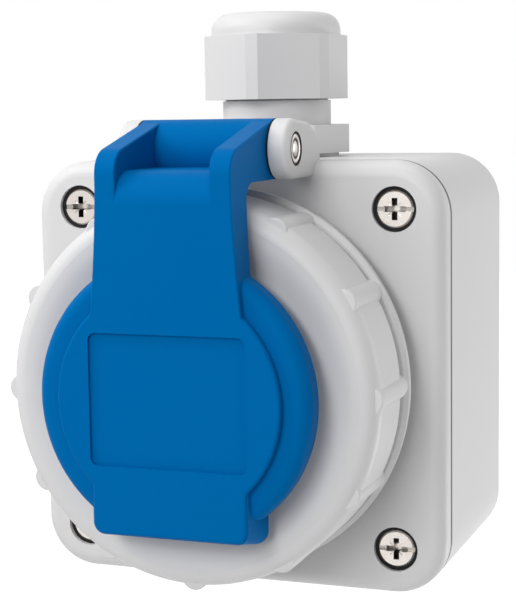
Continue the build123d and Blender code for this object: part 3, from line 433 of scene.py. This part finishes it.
def make_pin_ends(rubber):
    """The closed end of the hinge pin in each ear, with the black ring round it, which stands in for the
    shade in its seat.
    """
    steel = plated_steel("pin_end_steel", pin_groove_shade)
    low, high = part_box("hinge_pin")
    middle = hinge_middle()
    ring_radius = (PIN_SEAT_RADIUS + PIN_END_RADIUS) / 2
    turns = [math.tau * step / RING_CORD_SIDES for step in range(RING_CORD_SIDES + 1)]
    cord = [(RING_CORD_RADIUS * math.cos(turn), RING_CORD_RADIUS * math.sin(turn)) for turn in turns]
    for side, name, head in ((1, "right", high.x), (-1, "left", low.x)):
        end = turned([(head + side * reach, radius) for reach, radius in PIN_END], middle)
        add_piece("pin_end_" + name, end, steel, "housing")
        ring_x = head + side * RING_STAND
        ring = turned([(ring_x + x, ring_radius + radius) for x, radius in cord], middle)
        add_piece("pin_shade_ring_" + name, ring, rubber, "housing")


def make_washers(rubber):
    """The black washer at each end of the lid's barrel, which stands in for the shade in the gap to the
    ear.
    """
    middle = hinge_middle()
    inner_face = BARREL_END + WASHER_PLAY
    outer_face = BARREL_END + EAR_GAP - WASHER_PLAY
    section = (
        (inner_face, WASHER_BORE_RADIUS),
        (inner_face, WASHER_RADIUS),
        (outer_face, WASHER_RADIUS),
        (outer_face, WASHER_BORE_RADIUS),
        (inner_face, WASHER_BORE_RADIUS),
    )
    for side, name in ((1, "right"), (-1, "left")):
        washer = turned([(side * x, radius) for x, radius in section], middle)
        piece = add_piece("pin_shade_washer_" + name, washer, rubber, "housing")
        piece.data.shade_flat()


def make_camera():
    """The camera at the photograph's place, with its lens."""
    forward = Vector(
        (
            -math.sin(CAMERA_YAW) * math.cos(CAMERA_DIP),
            math.cos(CAMERA_YAW) * math.cos(CAMERA_DIP),
            -math.sin(CAMERA_DIP),
        )
    )
    level = Vector((math.cos(CAMERA_YAW), math.sin(CAMERA_YAW), 0))
    upright = level.cross(forward)
    right = level * math.cos(CAMERA_ROLL) + upright * math.sin(CAMERA_ROLL)
    up = upright * math.cos(CAMERA_ROLL) - level * math.sin(CAMERA_ROLL)
    turn = Matrix((right, up, -forward)).transposed().to_4x4()
    data = bpy.data.cameras.new("camera")
    data.sensor_fit = "VERTICAL"
    data.sensor_height = SENSOR_HEIGHT
    data.lens = FOCAL_PIXELS / PHOTO_HEIGHT * SENSOR_HEIGHT
    camera = bpy.data.objects.new("camera", data)
    camera.matrix_world = Matrix.Translation(CAMERA_PLACE) @ turn
    bpy.context.scene.collection.objects.link(camera)
    bpy.context.scene.camera = camera


def softbox(name, place, size, power):
    """A square soft light that faces the socket and isn't seen itself."""
    data = bpy.data.lights.new(name, "AREA")
    data.shape = "SQUARE"
    data.size = size
    data.energy = power
    light = bpy.data.objects.new(name, data)
    light.location = place
    light.rotation_euler = (AIM - Vector(place)).to_track_quat("-Z", "Y").to_euler()
    light.visible_camera = False
    bpy.context.scene.collection.objects.link(light)


def background_rays(finish):
    """1 for what the camera, a reflection or a look through something sees, and 0 for light."""
    seen = finish.node("LightPath", out="Is Camera Ray")
    for ray in ("Is Glossy Ray", "Is Transmission Ray"):
        seen = seen + finish.node("LightPath", out=ray)
    return seen.clamped()


def make_world():
    """White to the camera and in reflections, and softer as a light."""
    world = bpy.data.worlds.new("studio")
    bpy.context.scene.world = world
    studio = Finish("studio", world)
    strength = span(background_rays(studio), AMBIENT, 1)
    inputs = {"Color": WHITE, "Strength": strength}
    studio.node_output(studio.node("Background", None, inputs), "World")


def make_floor():
    """A plain pale floor well below the socket, which hangs on a wall."""
    shape = bmesh.new()
    bmesh.ops.create_grid(shape, x_segments=1, y_segments=1, size=FLOOR_SIZE / 2)
    bmesh.ops.translate(shape, vec=(0, 0, -FLOOR_DROP), verts=shape.verts)
    mesh = bpy.data.meshes.new("floor")
    shape.to_mesh(mesh)
    shape.free()
    floor = bpy.data.objects.new("floor", mesh)
    bpy.context.scene.collection.objects.link(floor)
    finish = Finish("floor")
    strength = background_rays(finish) * FLOOR_GLOW
    glow = finish.node("Emission", None, {"Color": WHITE, "Strength": strength})
    matt = finish.node("BsdfDiffuse", None, {"Color": FLOOR_PALE})
    finish.node_output(finish.node("AddShader", None, {0: glow, 1: matt}))
    mesh.materials.append(finish.material)


def make_lights():
    """Soft boxes: two in front, one near at the upper left, one overhead and two behind on the right."""
    softbox("key", (-0.12, -0.70, 0.35), size=0.20, power=1.34)
    softbox("front", (0.00, -0.78, 0.22), size=0.20, power=1.10)
    softbox("near", (-0.20, -0.16, 0.22), size=0.14, power=0.38)
    softbox("overhead", (0.00, -0.12, 0.55), size=0.30, power=0.70)
    softbox("rear", (0.42, 0.30, 0.05), size=0.25, power=0.47)
    softbox("low_rear", (0.40, 0.30, -0.30), size=0.30, power=1.78)


def main():
    bpy.context.scene.view_settings.view_transform = "Standard"
    finishes = make_finishes()
    dress_nodes(finishes)
    make_pin_ends(finishes["seal_rubber"])
    make_washers(finishes["seal_rubber"])
    make_floor()
    make_world()
    make_lights()
    make_camera()


main()
